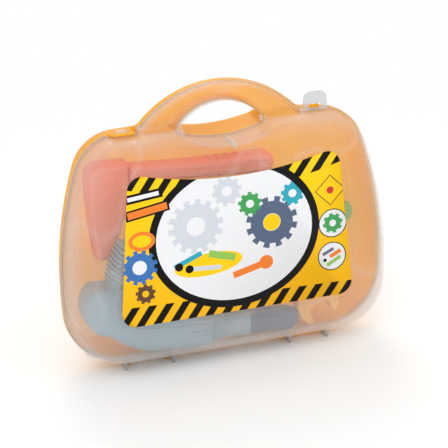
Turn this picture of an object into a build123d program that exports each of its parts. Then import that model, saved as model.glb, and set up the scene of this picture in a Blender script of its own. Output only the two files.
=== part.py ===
from build123d import *
import math
import os

# Toy tool box: two shells from one mould, hinged at the foot and latched at the top,
# with a set of toy tools lying inside.  Millimetres, +Z up, front towards -Y.
# The origin is under the middle of the case, on the surface that its feet stand on.
# The two shells meet on the plane Y = 0.

os.makedirs("parts", exist_ok=True)

# Case outline on the parting plane, heights measured from the case's lower rim
foot_height = 8.2
bottom_half_width = 138.0
side_half_width = 143.5
side_height = 101.0
shoulder_half_width = 117.0
shoulder_height = 202.0
crown_height = 205.0
bottom_radius = 50.0
shoulder_radius = 43.0

# Moulding of one shell
shell_depth = 39.0
wall = 1.8
draft_angle = 8.0
face_radius = 25.0
rim_depth = 3.0
rim_step = 0.8
overrun = 5.0

# Carrying handle, moulded on the shells
handle_foot_half_width = 69.0
handle_foot_height = 206.0
handle_top_height = 236.5
handle_flare_half_width = 77.0
handle_flare_height = 203.0
handle_root_height = 176.0
handle_half_depth = 11.5
handle_edge_radius = 6.0
hole_half_width = 39.5
hole_corner_height = 197.0
hole_top_height = 219.8
hole_floor_height = 189.5
hole_corner_radius = 3.5

# Label panel
panel_step = 1.0
panel_margin = 3.5
label_bottom_height = 43.5
label_bottom_half_width = 104.0
label_top_half_width = 92.0
label_top_height = 178.0
label_dip = 14.0
label_corner_radius = 12.0
label_thickness = 0.3

# Hinge: a wide pair of ears with a bar, and a narrow pair of hooks, on each shell
hinge_offset = 73.0
bar_radius = 2.2
bar_height = 3.9
wide_ear_spacing = 43.0
hook_spacing = 35.0
ear_thickness = 2.3
ear_reach = 10.5
ear_tip_radius = 1.6
ear_hub_radius = 3.0
hook_hub_radius = 3.4
hook_clearance = 0.08
hook_mouth = 3.6
rim_clearance = 0.2

# Latches: a flap on each shell, and a seat with a nub on the other
latch_offset = 86.0
seat_height = 200.0
seat_half_width = 13.0
seat_depth = 20.0
flap_base_width = 22.0
flap_top_width = 20.0
flap_length = 15.7
flap_thickness = 1.4
flap_corner_radius = 6.0
flap_lift = 0.2
flap_set_back = 1.0
window_width = 11.0
window_start = 1.4
window_length = 4.0
nub_width = 9.0
nub_gap = 0.4
nub_height = 1.8
nub_depth = 2.4
left_flap_fold = 78.0

# Toy drill: places along and across its axis, from the rear of the housing
drill_rear = 129.0
drill_height = 36.6
drill_tilt = 4.0
housing_wall = 2.0
body_length = 112.0
body_side_room = 19.0
body_edge_radius = 10.0
body_corner_radius = 6.0
nose_radius = 14.5
belly_start = 60.0
body_heel_length = 40.0
body_heel_height = 2.0
body_heel_bulge = 4.5
body_rear_bulge = 3.0
body_rear_rise = 28.0
body_rear_inset = 6.0
body_rear_top = 45.0
body_top_length = 66.0
body_waist_length = 88.0
body_waist_height = 22.0
grip_half_thickness = 13.5
grip_edge_radius = 7.0
grip_back = 19.0
grip_front = 56.0
grip_back_bulge = 4.0
grip_root_height = 30.0
grip_middle_height = 60.0
grip_end_back = 44.0
grip_end_back_height = 92.0
grip_end_front = 74.0
grip_end_front_height = 80.0
collar_length = 34.0
collar_radius = 12.0
collar_bore = 6.0
screw_places = ((24.0, 24.0), (86.0, 0.0), (52.0, 74.0))
boss_radius = 4.5
screw_seat = 4.0
screw_radius = 2.6
screw_hole_radius = 2.9
screw_length = 6.0
trigger_seat = 53.0
trigger_height = 55.0
trigger_length = 16.0
trigger_width = 16.0
trigger_half_thickness = 6.0
trigger_clearance = 0.3
trigger_rounding = 2.5
chuck_radius = 11.3
chuck_length = 45.0
chuck_gap = 0.6
chuck_nose_radius = 8.0
chuck_cone = 9.0
chuck_bore = 2.4
chuck_bore_depth = 14.0
chuck_grooves = 10
chuck_groove_radius = 1.2
chuck_groove_length = 20.0
chuck_collar = 6.0
spindle_radius = 5.9
flange_radius = 8.5
flange_length = 2.0
flange_gap = 0.4

# Toy hammer
hammer_left = 95.0
hammer_height = 166.0
hammer_tilt = 2.0
head_half_thickness = 12.0
head_half_width = 18.0
head_top = 12.0
head_length = 84.0
head_shoulder_radius = 11.0
head_rounding = 4.0
claw_curve = 6.0
claw_tip_width = 9.0
claw_notch_width = 7.0
claw_notch_length = 26.0
handle_length = 150.0
handle_half_height = 9.5
handle_half_thickness = 9.5
handle_waist = 8.0
handle_rounding = 6.0
tenon_length = 14.0
tenon_half_height = 5.0
tenon_half_thickness = 6.0

# Toy spanner
spanner_foot_x = 84.0
spanner_foot_height = 10.5
spanner_angle = 98.0
spanner_thickness = 12.0
spanner_head_radius = 20.0
spanner_small_radius = 16.0
spanner_span = 112.0
spanner_shank = 15.0
jaw_clearance = 0.6
spanner_small_jaw = 12.0
spanner_jaw_turn = 15.0
spanner_corner_radius = 3.0
spanner_bevel = 1.5

# Toy saw
saw_right = 116.0
saw_height = 100.0
saw_back_gap = 0.3
saw_handle_thickness = 12.0
saw_handle_length = 62.0
saw_handle_height = 52.0
saw_handle_radius = 14.0
saw_grip_hole_length = 34.0
saw_grip_hole_height = 20.0
saw_bevel = 2.0
saw_tang = 8.0
saw_blade_length = 112.0
saw_blade_height = 34.0
saw_blade_tip = 18.0
saw_blade_thickness = 2.2
saw_teeth = 16
saw_tooth_depth = 2.4

# Toy screwdriver
driver_left = 75.0
driver_wall_gap = 1.6
driver_drill_gap = 0.3
socket_clearance = 0.05
driver_height = 29.2
driver_handle_length = 55.0
driver_handle_radius = 10.0
driver_shaft_length = 62.0
driver_shaft_radius = 3.2
driver_socket = 12.0
driver_flutes = 6
driver_flute_radius = 2.4
driver_blade_thickness = 1.6
driver_blade_length = 9.0

# Toy bolts and nuts
bolt_count = 2
bolt_left = -34.0
bolt_pitch = 40.0
bolt_sides = 6
bolt_head_radius = 9.0
bolt_head_height = 6.0
bolt_shank_radius = 5.0
bolt_shank_length = 26.0
nut_height = 8.0
nut_place = 12.0
nut_clearance = 0.05

# Heights and faces worked out from the sizes above
rim_z = foot_height
seat_z = foot_height + seat_height
flap_axis_z = seat_z + flap_lift + flap_thickness / 2
back_face = shell_depth - panel_step - wall - saw_back_gap
body_half_thickness = shell_depth - body_side_room
spanner_jaw = 2 * bolt_head_radius + jaw_clearance
driver_back = back_face - driver_wall_gap - driver_handle_radius
drill_back = driver_back - driver_handle_radius - driver_drill_gap - body_half_thickness


def case_outline(inset):
    """The case's outline on the parting plane, drawn in by inset."""
    with BuildSketch(Plane.XZ) as outline:
        with BuildLine():
            Line((-bottom_half_width, rim_z), (bottom_half_width, rim_z))
            ThreePointArc(
                (bottom_half_width, rim_z),
                (side_half_width, rim_z + side_height),
                (shoulder_half_width, rim_z + shoulder_height),
            )
            ThreePointArc(
                (shoulder_half_width, rim_z + shoulder_height),
                (0, rim_z + crown_height),
                (-shoulder_half_width, rim_z + shoulder_height),
            )
            ThreePointArc(
                (-shoulder_half_width, rim_z + shoulder_height),
                (-side_half_width, rim_z + side_height),
                (-bottom_half_width, rim_z),
            )
        make_face()
        fillet(outline.vertices().group_by(Axis.Y)[0], bottom_radius)
        fillet(outline.vertices().group_by(Axis.Y)[-1], shoulder_radius)
        if inset:
            offset(amount=-inset, mode=Mode.REPLACE)
    return outline.sketch


def hole_outline(inset):
    """The finger hole between the case and its handle, made larger by inset."""
    with BuildSketch(Plane.XZ) as hole:
        with BuildLine():
            ThreePointArc(
                (hole_half_width, rim_z + hole_corner_height),
                (0, rim_z + hole_top_height),
                (-hole_half_width, rim_z + hole_corner_height),
            )
            ThreePointArc(
                (-hole_half_width, rim_z + hole_corner_height),
                (0, rim_z + hole_floor_height),
                (hole_half_width, rim_z + hole_corner_height),
            )
        make_face()
        if inset:
            offset(amount=inset, kind=Kind.INTERSECTION, mode=Mode.REPLACE)
        fillet(hole.vertices(), hole_corner_radius + inset)
    return hole.sketch


def handle_outline(inset):
    """The carrying handle's outer outline, flared where it meets the case."""
    with BuildSketch(Plane.XZ) as handle:
        with BuildLine():
            ThreePointArc(
                (-handle_foot_half_width, rim_z + handle_foot_height),
                (0, rim_z + handle_top_height),
                (handle_foot_half_width, rim_z + handle_foot_height),
            )
            Polyline(
                (handle_foot_half_width, rim_z + handle_foot_height),
                (handle_flare_half_width, rim_z + handle_flare_height),
                (handle_flare_half_width, rim_z + handle_root_height),
                (-handle_flare_half_width, rim_z + handle_root_height),
                (-handle_flare_half_width, rim_z + handle_flare_height),
                (-handle_foot_half_width, rim_z + handle_foot_height),
            )
        make_face()
        if inset:
            offset(amount=-inset, mode=Mode.REPLACE)
    return handle.sketch


def handle_half(inset):
    """Half of the handle with its rounded edges, drawn in by inset."""
    with BuildPart() as half:
        extrude(handle_outline(inset), amount=handle_half_depth - inset)
        extrude(hole_outline(inset), amount=handle_half_depth, mode=Mode.SUBTRACT)
        fillet(half.faces().sort_by(Axis.Y)[0].edges(), handle_edge_radius - inset)
    return half.part


def case_half(inset):
    """One half of the case as a solid body, drawn in by inset on every side."""
    with BuildPart() as half:
        extrude(
            case_outline(rim_step + inset), amount=shell_depth - inset, taper=draft_angle
        )
        fillet(half.faces().sort_by(Axis.Y)[0].edges(), face_radius - inset)
        if not inset:
            extrude(case_outline(0), amount=rim_depth)
        add(handle_half(inset))
        extrude(hole_outline(inset), amount=shell_depth + overrun, mode=Mode.SUBTRACT)
    return half.part


def label_outline(margin, depth):
    """The label's outline with its dipped upper edge, at depth in front of the parting plane."""
    with BuildSketch(Plane.XZ.offset(depth)) as outline:
        with BuildLine():
            Polyline(
                (-label_top_half_width, rim_z + label_top_height),
                (-label_bottom_half_width, rim_z + label_bottom_height),
                (label_bottom_half_width, rim_z + label_bottom_height),
                (label_top_half_width, rim_z + label_top_height),
            )
            ThreePointArc(
                (label_top_half_width, rim_z + label_top_height),
                (0, rim_z + label_top_height - label_dip),
                (-label_top_half_width, rim_z + label_top_height),
            )
        make_face()
        fillet(outline.vertices(), label_corner_radius)
        if margin:
            offset(amount=margin, mode=Mode.REPLACE)
    return outline.sketch


def seat_blocks(inset):
    """The air over the two flat latch seats, made larger by inset."""
    with BuildPart() as blocks:
        with BuildSketch(Plane.XZ):
            with Locations((-latch_offset, seat_z - inset), (latch_offset, seat_z - inset)):
                Rectangle(
                    2 * (seat_half_width + inset),
                    2 * seat_half_width,
                    align=(Align.CENTER, Align.MIN),
                )
        extrude(amount=seat_depth + inset)
    return blocks.part


def ear_profile(hub_radius, hooked):
    """A hinge ear from the side: upright front edge, round tip and a hub on the axis."""
    with BuildSketch(Plane.YZ) as ear:
        with BuildLine():
            Polyline(
                (-ear_reach, foot_height + ear_reach),
                (-ear_reach, 0),
                (-ear_reach + 2 * ear_tip_radius, 0),
                (0, bar_height - hub_radius),
                (0, bar_height),
                (-rim_clearance, bar_height),
                (-rim_clearance, foot_height + ear_reach),
                close=True,
            )
        make_face()
        fillet(ear.vertices().group_by(Axis.Y)[0].sort_by(Axis.X)[0], ear_tip_radius)
        with Locations((0, bar_height)):
            Circle(hub_radius)
            if hooked:
                Circle(bar_radius + hook_clearance, mode=Mode.SUBTRACT)
                Rectangle(
                    2 * hub_radius,
                    hook_mouth,
                    align=(Align.MIN, Align.CENTER),
                    mode=Mode.SUBTRACT,
                )
    return ear.sketch


def ear_pair(hub_radius, hooked, centre, spacing):
    """Two ear plates, spacing apart, on either side of centre."""
    with BuildPart() as ears:
        extrude(ear_profile(hub_radius, hooked), amount=ear_thickness / 2, both=True)
    with BuildPart() as pair:
        with Locations((centre - spacing / 2, 0), (centre + spacing / 2, 0)):
            add(ears.part)
    return pair.part


# Inside of one shell: the case's form drawn in by the wall, stepped behind the
# label panel and under the latch seats so that the wall keeps its thickness.
with BuildPart() as shell_cavity:
    add(case_half(wall))
    extrude(
        label_outline(panel_margin + wall, shell_depth - panel_step - wall),
        amount=wall + overrun,
        mode=Mode.SUBTRACT,
    )
    add(seat_blocks(wall), mode=Mode.SUBTRACT)

# Front shell: the milky clear moulding, a tray with half of the handle, its label
# panel, two latch seats, one nub, a hinge bar in wide ears and a pair of hooks.
with BuildPart() as front_shell:
    add(case_half(0))
    extrude(
        label_outline(panel_margin, shell_depth - panel_step),
        amount=panel_step + overrun,
        mode=Mode.SUBTRACT,
    )
    add(seat_blocks(0), mode=Mode.SUBTRACT)
    add(ear_pair(ear_hub_radius, False, -hinge_offset, wide_ear_spacing))
    add(ear_pair(hook_hub_radius, True, hinge_offset, hook_spacing))
    add(shell_cavity.part, mode=Mode.SUBTRACT)
    with BuildSketch(Plane.YZ.offset(-hinge_offset)):
        with Locations((0, bar_height)):
            Circle(bar_radius)
    extrude(amount=wide_ear_spacing / 2, both=True)
    with BuildSketch(Plane.XY.offset(seat_z + nub_height)):
        with Locations((-latch_offset, flap_set_back - window_start - nub_gap)):
            Rectangle(nub_width, nub_depth, align=(Align.CENTER, Align.MAX))
    extrude(amount=-nub_height - wall / 2)
front_shell.part.label = "front_shell"

# Back shell: the orange-yellow moulding from the same mould, turned half round.
with BuildPart() as back_shell:
    add(front_shell.part, rotation=(0, 0, 180))
back_shell.part.label = "back_shell"

# Right latch flap: clear, upright, with a window that snaps over the back shell's nub.
# Its rounded foot is the thin living hinge on the front shell's seat.
with BuildPart() as latch_flap_right:
    with BuildSketch(Plane.XZ.offset(flap_set_back)) as flap_face:
        with BuildLine():
            Polyline(
                (latch_offset - flap_base_width / 2, flap_axis_z),
                (latch_offset + flap_base_width / 2, flap_axis_z),
                (latch_offset + flap_top_width / 2, flap_axis_z + flap_length),
                (latch_offset - flap_top_width / 2, flap_axis_z + flap_length),
                close=True,
            )
        make_face()
        fillet(flap_face.vertices().group_by(Axis.Y)[-1], flap_corner_radius)
        with Locations((latch_offset, flap_axis_z + window_start)):
            Rectangle(
                window_width,
                window_length,
                align=(Align.CENTER, Align.MIN),
                mode=Mode.SUBTRACT,
            )
    extrude(amount=flap_thickness / 2, both=True)
    with BuildSketch(Plane.YZ.offset(latch_offset)):
        with Locations((-flap_set_back, flap_axis_z)):
            Circle(flap_thickness / 2)
    extrude(amount=flap_base_width / 2, both=True)
latch_flap_right.part.label = "latch_flap_right"

# Left latch flap: the same flap on the back shell, folded over the front shell's rim
# and resting just above its nub.
with BuildPart() as latch_flap_left:
    turned_flap = latch_flap_right.part.rotate(Axis.Z, 180)
    add(turned_flap.rotate(Axis((0, flap_set_back, flap_axis_z), (1, 0, 0)), left_flap_fold))
latch_flap_left.part.label = "latch_flap_left"

# Label: a thin printed sheet stuck in the front panel.
with BuildPart() as label:
    extrude(label_outline(0, shell_depth - panel_step), amount=label_thickness)
label.part.label = "label"

# Toy drill, lying along the bottom with its nose to the right and its grip up.
# Its plane is the joint between the two housing halves: x runs to the nose.
drill_slope = math.radians(drill_tilt)
drill_plane = Plane(
    origin=(-drill_rear, drill_back, drill_height),
    x_dir=(math.cos(drill_slope), 0, -math.sin(drill_slope)),
    z_dir=(0, -1, 0),
)
drill_axis = Axis(drill_plane.origin, drill_plane.x_dir)
nose_plane = Plane(
    drill_plane.from_local_coords((belly_start, 0, 0)),
    x_dir=(0, 1, 0),
    z_dir=drill_plane.x_dir,
)
collar_end = body_length + collar_length
spindle_start = collar_end - housing_wall - flange_gap - flange_length
chuck_end = collar_end + chuck_gap + chuck_length


def drill_body_outline(inset):
    """Side view of the drill's motor housing, drawn in by inset."""
    with BuildSketch(drill_plane) as outline:
        with BuildLine():
            Line((body_length, nose_radius), (body_length, -nose_radius))
            Line((body_length, -nose_radius), (belly_start, -nose_radius))
            ThreePointArc(
                (belly_start, -nose_radius),
                (belly_start - body_heel_length / 2, -nose_radius + body_heel_bulge),
                (belly_start - body_heel_length, body_heel_height),
            )
            ThreePointArc(
                (belly_start - body_heel_length, body_heel_height),
                (-body_rear_bulge, body_rear_rise),
                (body_rear_inset, body_rear_top),
            )
            Line((body_rear_inset, body_rear_top), (body_top_length, body_rear_top))
            ThreePointArc(
                (body_top_length, body_rear_top),
                (body_waist_length, body_waist_height),
                (body_length, nose_radius),
            )
        make_face()
        fillet(outline.vertices(), body_corner_radius)
        if inset:
            offset(amount=-inset, mode=Mode.REPLACE)
    return outline.sketch


def grip_outline(inset):
    """Side view of the drill's grip, drawn in by inset."""
    with BuildSketch(drill_plane) as outline:
        with BuildLine():
            ThreePointArc(
                (grip_back, grip_root_height),
                (grip_back + grip_back_bulge, grip_middle_height),
                (grip_end_back, grip_end_back_height),
            )
            Line((grip_end_back, grip_end_back_height), (grip_end_front, grip_end_front_height))
            ThreePointArc(
                (grip_end_front, grip_end_front_height),
                (grip_front + grip_back_bulge, grip_middle_height),
                (grip_front, grip_root_height),
            )
            Line((grip_front, grip_root_height), (grip_back, grip_root_height))
        make_face()
        if inset:
            offset(amount=-inset, mode=Mode.REPLACE)
    return outline.sketch


def round_sides(solid, radius):
    """Rounds the edges of the two flat sides of a solid."""
    fillet(solid.faces().sort_by(Axis.Y)[0].edges(), radius)
    fillet(solid.faces().sort_by(Axis.Y)[-1].edges(), radius)


# Drill housing as a solid body: motor housing, grip and collar.
with BuildPart() as drill_grip:
    extrude(grip_outline(0), amount=grip_half_thickness, both=True)
    round_sides(drill_grip, grip_edge_radius)

with BuildPart() as drill_solid:
    extrude(drill_body_outline(0), amount=body_half_thickness, both=True)
    round_sides(drill_solid, body_edge_radius)
    add(drill_grip.part)
    with BuildSketch(nose_plane):
        Circle(collar_radius)
    extrude(amount=collar_end - belly_start)

# The hollow in it, stepped in behind the rounded edges and crossed by screw bosses.
with BuildPart() as drill_hollow:
    extrude(
        drill_body_outline(housing_wall),
        amount=body_half_thickness - body_edge_radius,
        both=True,
    )
    extrude(
        drill_body_outline(body_edge_radius),
        amount=body_half_thickness - housing_wall,
        both=True,
    )
    extrude(
        grip_outline(housing_wall), amount=grip_half_thickness - grip_edge_radius, both=True
    )
    extrude(
        grip_outline(grip_edge_radius), amount=grip_half_thickness - housing_wall, both=True
    )
    with BuildSketch(nose_plane):
        Circle(collar_radius - housing_wall)
    extrude(amount=collar_end - belly_start - housing_wall)
    with BuildSketch(drill_plane):
        with Locations(*screw_places):
            Circle(boss_radius)
    extrude(amount=body_half_thickness, both=True, mode=Mode.SUBTRACT)

# Hollow housing before it is parted, with the spindle's bore, the trigger's slot and
# the screw holes.
with BuildPart() as drill_housing:
    add(drill_solid.part)
    add(drill_hollow.part, mode=Mode.SUBTRACT)
    with BuildSketch(nose_plane):
        Circle(collar_bore)
    extrude(amount=collar_end - belly_start, mode=Mode.SUBTRACT)
    with BuildSketch(drill_plane):
        with Locations((trigger_seat, trigger_height)):
            Rectangle(
                trigger_length,
                trigger_width + 2 * trigger_clearance,
                align=(Align.MIN, Align.CENTER),
            )
    extrude(amount=trigger_half_thickness + trigger_clearance, both=True, mode=Mode.SUBTRACT)
    with BuildSketch(drill_plane.offset(-screw_seat)):
        with Locations(*screw_places):
            Circle(screw_hole_radius)
    extrude(amount=-body_half_thickness, mode=Mode.SUBTRACT)

# Drill housing, front half: the half nearer the label.
with BuildPart() as drill_half_front:
    add(drill_housing.part)
    split(bisect_by=drill_plane, keep=Keep.TOP)
drill_half_front.part.label = "drill_half_front"

# Drill housing, back half, with the three screw holes.
with BuildPart() as drill_half_back:
    add(drill_housing.part)
    split(bisect_by=drill_plane, keep=Keep.BOTTOM)
drill_half_back.part.label = "drill_half_back"

# Drill screws: three alike, seated in their holes in the back half.
with BuildPart() as drill_screws:
    with BuildSketch(drill_plane.offset(-screw_seat)):
        with Locations(*screw_places):
            Circle(screw_radius)
    extrude(amount=-screw_length)
drill_screws.part.label = "drill_screws"

# Drill trigger: slides back into the grip on a spring.
with BuildPart() as drill_trigger:
    with BuildSketch(drill_plane):
        with Locations((trigger_seat, trigger_height)):
            Rectangle(trigger_length, trigger_width, align=(Align.MIN, Align.CENTER))
    extrude(amount=trigger_half_thickness, both=True)
    fillet(drill_trigger.faces().sort_by(drill_axis)[-1].edges(), trigger_rounding)
drill_trigger.part.label = "drill_trigger"

# Drill chuck: a turned nose with a bore for a bit, on a spindle that a flange keeps
# behind the collar's end wall.
with BuildPart() as drill_chuck:
    with BuildSketch(drill_plane):
        with BuildLine():
            Polyline(
                (spindle_start, 0),
                (spindle_start, flange_radius),
                (spindle_start + flange_length, flange_radius),
                (spindle_start + flange_length, spindle_radius),
                (collar_end + chuck_gap, spindle_radius),
                (collar_end + chuck_gap, chuck_radius),
                (chuck_end - chuck_cone, chuck_radius),
                (chuck_end, chuck_nose_radius),
                (chuck_end, chuck_bore),
                (chuck_end - chuck_bore_depth, chuck_bore),
                (chuck_end - chuck_bore_depth, 0),
                close=True,
            )
        make_face()
    revolve(axis=drill_axis)
    with BuildSketch(
        Plane(
            drill_plane.from_local_coords((collar_end + chuck_gap + chuck_collar, 0, 0)),
            x_dir=(0, 1, 0),
            z_dir=drill_plane.x_dir,
        )
    ):
        with PolarLocations(chuck_radius, chuck_grooves):
            Circle(chuck_groove_radius)
    extrude(amount=chuck_groove_length, mode=Mode.SUBTRACT)
drill_chuck.part.label = "drill_chuck"

# Toy hammer, lying along the top against the back wall, its claw down at the left.
# Its plane is the hammer's own middle: x runs along the handle.
hammer_slope = math.radians(hammer_tilt)
hammer_plane = Plane(
    origin=(-hammer_left, back_face - head_half_thickness, hammer_height),
    x_dir=(math.cos(hammer_slope), 0, -math.sin(hammer_slope)),
    z_dir=(0, -1, 0),
)

# Hammer head: square face on top, curved claw below with a nail slot, and a blind eye.
with BuildPart() as hammer_head:
    with BuildSketch(hammer_plane) as head_side:
        with BuildLine():
            Polyline(
                (-head_half_width, 0),
                (-head_half_width, head_top),
                (head_half_width, head_top),
                (head_half_width, -head_top),
            )
            ThreePointArc(
                (head_half_width, -head_top),
                (head_half_width - claw_curve, -head_length / 2),
                (claw_tip_width / 2 - claw_curve, head_top - head_length),
            )
            Line(
                (claw_tip_width / 2 - claw_curve, head_top - head_length),
                (-claw_tip_width / 2 - claw_curve, head_top - head_length),
            )
            ThreePointArc(
                (-claw_tip_width / 2 - claw_curve, head_top - head_length),
                (-head_half_width + claw_curve / 2, -head_length / 2),
                (-head_half_width, 0),
            )
        make_face()
        fillet(head_side.vertices().group_by(Axis.Y)[-1].sort_by(Axis.X)[0], head_shoulder_radius)
    extrude(amount=head_half_thickness, both=True)
    fillet(hammer_head.faces().sort_by(Axis.Y)[0].edges(), head_rounding)
    fillet(hammer_head.faces().sort_by(Axis.Y)[-1].edges(), head_rounding)
    with BuildSketch(hammer_plane):
        with Locations((0, head_top - head_length)):
            Rectangle(
                4 * head_half_width, claw_notch_length, align=(Align.CENTER, Align.MIN)
            )
    extrude(amount=claw_notch_width / 2, both=True, mode=Mode.SUBTRACT)
    with BuildSketch(hammer_plane):
        Rectangle(2 * tenon_length, 2 * tenon_half_height, align=(Align.MIN, Align.CENTER))
    extrude(amount=tenon_half_thickness, both=True, mode=Mode.SUBTRACT)
hammer_head.part.label = "hammer_head"

# Hammer handle: a waisted bar with a round end, its tenon in the head's eye.
with BuildPart() as hammer_handle:
    with BuildSketch(hammer_plane):
        with BuildLine():
            ThreePointArc(
                (head_half_width, handle_half_height),
                (handle_length / 2, handle_waist),
                (handle_length - handle_half_height, handle_half_height),
            )
            ThreePointArc(
                (handle_length - handle_half_height, handle_half_height),
                (handle_length, 0),
                (handle_length - handle_half_height, -handle_half_height),
            )
            ThreePointArc(
                (handle_length - handle_half_height, -handle_half_height),
                (handle_length / 2, -handle_waist),
                (head_half_width, -handle_half_height),
            )
            Line((head_half_width, -handle_half_height), (head_half_width, handle_half_height))
        make_face()
    extrude(amount=handle_half_thickness, both=True)
    fillet(hammer_handle.faces().sort_by(Axis.Y)[0].edges(), handle_rounding)
    fillet(hammer_handle.faces().sort_by(Axis.Y)[-1].edges(), handle_rounding)
    with BuildSketch(hammer_plane):
        Rectangle(
            2 * head_half_width, 2 * tenon_half_height, align=(Align.MIN, Align.CENTER)
        )
    extrude(amount=tenon_half_thickness, both=True)
hammer_handle.part.label = "hammer_handle"

# Toy spanner: open jaws at both ends, standing on its larger head at the right.
spanner_direction = math.radians(spanner_angle)
spanner_plane = Plane(
    origin=(spanner_foot_x, 0, spanner_foot_height + spanner_head_radius),
    x_dir=(math.cos(spanner_direction), 0, math.sin(spanner_direction)),
    z_dir=(0, -1, 0),
)
with BuildPart() as spanner:
    with BuildSketch(spanner_plane) as spanner_face:
        Circle(spanner_head_radius)
        Rectangle(spanner_span, spanner_shank, align=(Align.MIN, Align.CENTER))
        with Locations((spanner_span, 0)):
            Circle(spanner_small_radius)
        with Locations(Location((0, 0), spanner_jaw_turn)):
            Rectangle(
                2 * spanner_head_radius,
                spanner_jaw,
                align=(Align.MAX, Align.CENTER),
                mode=Mode.SUBTRACT,
            )
        with Locations(Location((spanner_span, 0), spanner_jaw_turn)):
            Rectangle(
                2 * spanner_small_radius,
                spanner_small_jaw,
                align=(Align.MIN, Align.CENTER),
                mode=Mode.SUBTRACT,
            )
        fillet(spanner_face.vertices(), spanner_corner_radius)
    extrude(amount=spanner_thickness / 2, both=True)
    chamfer(spanner.faces().sort_by(Axis.Y)[0].edges(), spanner_bevel)
    chamfer(spanner.faces().sort_by(Axis.Y)[-1].edges(), spanner_bevel)
spanner.part.label = "spanner"

# Toy saw, flat against the back wall: a pierced handle at the right.
with BuildPart() as saw_handle:
    with BuildSketch(Plane.XZ.offset(-back_face)):
        with Locations((saw_right - saw_handle_length / 2, saw_height)):
            RectangleRounded(saw_handle_length, saw_handle_height, saw_handle_radius)
            SlotOverall(saw_grip_hole_length, saw_grip_hole_height, mode=Mode.SUBTRACT)
    extrude(amount=saw_handle_thickness)
    chamfer(saw_handle.faces().sort_by(Axis.Y)[0].edges(), saw_bevel)
    with BuildSketch(Plane.XZ.offset(-back_face)):
        with Locations((saw_right - saw_handle_length, saw_height)):
            Rectangle(2 * saw_tang, saw_blade_height)
    extrude(amount=saw_blade_thickness, mode=Mode.SUBTRACT)
saw_handle.part.label = "saw_handle"

# Saw blade: straight back, tapering to its tip, with a row of large blunt teeth.
with BuildPart() as saw_blade:
    blade_root = saw_right - saw_handle_length + saw_tang
    blade_tip = blade_root - saw_blade_length
    blade_top = saw_height + saw_blade_height / 2
    tooth_run = saw_blade_length - 2 * saw_tang
    tooth_rise = saw_blade_height - saw_blade_tip
    tooth_pitch = tooth_run / saw_teeth
    tooth_line = [
        (
            blade_tip + tooth_pitch * step / 2,
            blade_top
            - saw_blade_tip
            - tooth_rise * step / (2 * saw_teeth)
            + (saw_tooth_depth if step % 2 else 0),
        )
        for step in range(2 * saw_teeth + 1)
    ]
    with BuildSketch(Plane.XZ.offset(-back_face)):
        with BuildLine():
            Polyline(
                *tooth_line,
                (blade_root, blade_top - saw_blade_height),
                (blade_root, blade_top),
                (blade_tip, blade_top),
                close=True,
            )
        make_face()
    extrude(amount=saw_blade_thickness)
saw_blade.part.label = "saw_blade"

# Toy screwdriver, lying in the bottom behind the drill: a fluted handle.
driver_plane = Plane(
    origin=(-driver_left, driver_back, driver_height), x_dir=(0, 1, 0), z_dir=(1, 0, 0)
)
with BuildPart() as screwdriver_handle:
    with BuildSketch(driver_plane):
        Circle(driver_handle_radius)
        with PolarLocations(driver_handle_radius, driver_flutes):
            Circle(driver_flute_radius, mode=Mode.SUBTRACT)
    extrude(amount=driver_handle_length)
    with BuildSketch(driver_plane.offset(driver_handle_length - driver_socket)):
        Circle(driver_shaft_radius + socket_clearance)
    extrude(amount=driver_socket, mode=Mode.SUBTRACT)
screwdriver_handle.part.label = "screwdriver_handle"

# Screwdriver shaft: a round rod in the handle's socket, flattened at the tip.
with BuildPart() as screwdriver_shaft:
    with BuildSketch(driver_plane.offset(driver_handle_length - driver_socket)):
        Circle(driver_shaft_radius)
    extrude(amount=driver_socket + driver_shaft_length)
    with BuildSketch(driver_plane.offset(driver_handle_length + driver_shaft_length)):
        Circle(driver_shaft_radius)
        Rectangle(2 * driver_shaft_radius, driver_blade_thickness, mode=Mode.SUBTRACT)
    extrude(amount=-driver_blade_length, mode=Mode.SUBTRACT)
screwdriver_shaft.part.label = "screwdriver_shaft"


def bolt_plane(index):
    """The plane under one bolt's head; its axis runs to the right."""
    return Plane(
        origin=(
            bolt_left + index * bolt_pitch,
            back_face - bolt_head_radius / math.cos(math.pi / bolt_sides),
            blade_top + saw_back_gap + bolt_head_radius,
        ),
        x_dir=(0, 1, 0),
        z_dir=(1, 0, 0),
    )


# Two toy bolts, lying on the saw's back: a hexagon head and a plain shank.
bolts = []
for index in range(bolt_count):
    with BuildPart() as bolt:
        with BuildSketch(bolt_plane(index)):
            RegularPolygon(bolt_head_radius, bolt_sides, major_radius=False)
        extrude(amount=-bolt_head_height)
        with BuildSketch(bolt_plane(index)):
            Circle(bolt_shank_radius)
        extrude(amount=bolt_shank_length)
    bolt.part.label = f"bolt_{index + 1}"
    bolts.append(bolt)

# Two toy nuts, each on its bolt.
nuts = []
for index in range(bolt_count):
    with BuildPart() as nut:
        with BuildSketch(bolt_plane(index).offset(nut_place)):
            RegularPolygon(bolt_head_radius, bolt_sides, major_radius=False)
            Circle(bolt_shank_radius + nut_clearance, mode=Mode.SUBTRACT)
        extrude(amount=nut_height)
    nut.part.label = f"nut_{index + 1}"
    nuts.append(nut)

pieces = [
    back_shell, front_shell, label, latch_flap_left, latch_flap_right,
    drill_half_front, drill_half_back, drill_screws, drill_trigger, drill_chuck,
    hammer_head, hammer_handle, spanner, saw_handle, saw_blade,
    screwdriver_handle, screwdriver_shaft, *bolts, *nuts,
]
for piece in pieces:
    export_step(piece.part, f"parts/{piece.part.label}.step")
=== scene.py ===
import math

import bmesh
import bpy
from mathutils import Matrix, Vector


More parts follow.
